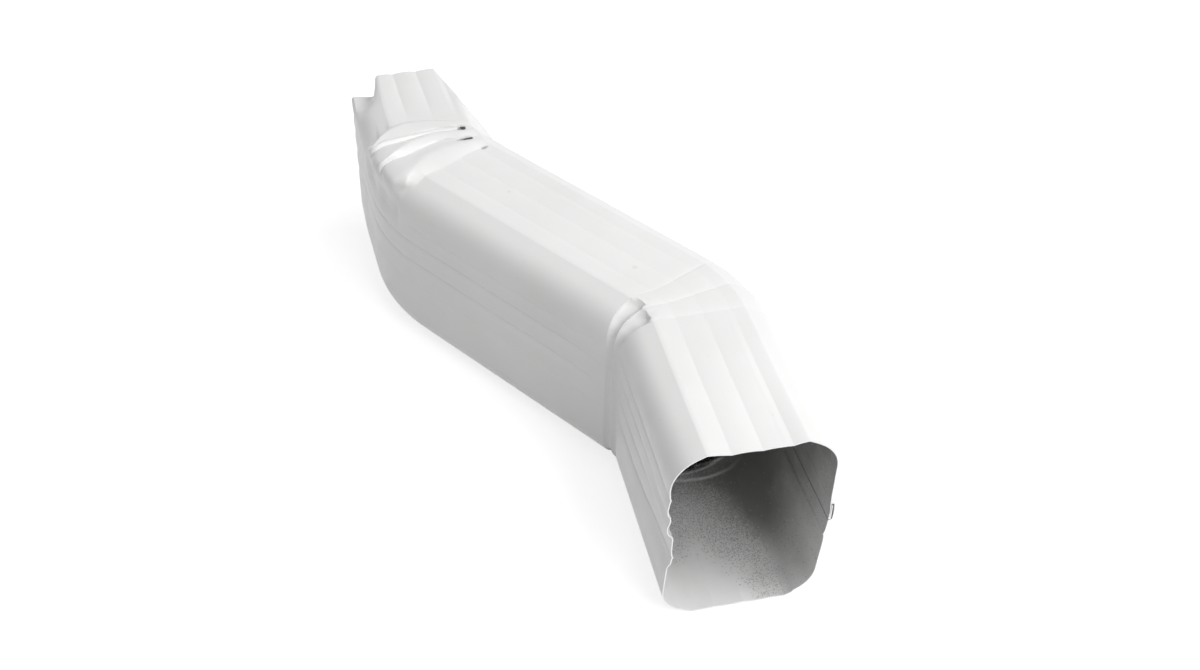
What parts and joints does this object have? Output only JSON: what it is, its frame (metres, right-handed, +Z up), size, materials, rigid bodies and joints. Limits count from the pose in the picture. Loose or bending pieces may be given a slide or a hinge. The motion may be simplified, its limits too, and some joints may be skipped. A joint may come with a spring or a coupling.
{
  "type": "downspout elbow",
  "caption": "Offset elbow for a rectangular fluted downspout: one folded, lock-seamed sheet tube with two opposite sideways bends, a plain mouth and a crimped end.",
  "frame": {"origin": "Middle of the bounding box in plan, at the height of the surface that the elbow lies on.", "axes": "+Z is up. The near leg points towards -Y from the bend, so +Y runs along it to the far, crimped end. +X is to the right for someone who looks along +Y. The elbow lies on a narrow wall and both bends are in the level plane."},
  "size_m": [0.1944, 0.3688, 0.1133],
  "materials": {
    "white_enamel": "satin white enamel on thin sheet, a little darker and dusty inside, bare metal at the cut edges"
  },
  "bodies": {
    "root": {"offset_elbow": "white_enamel"}
  },
  "joints": []
}
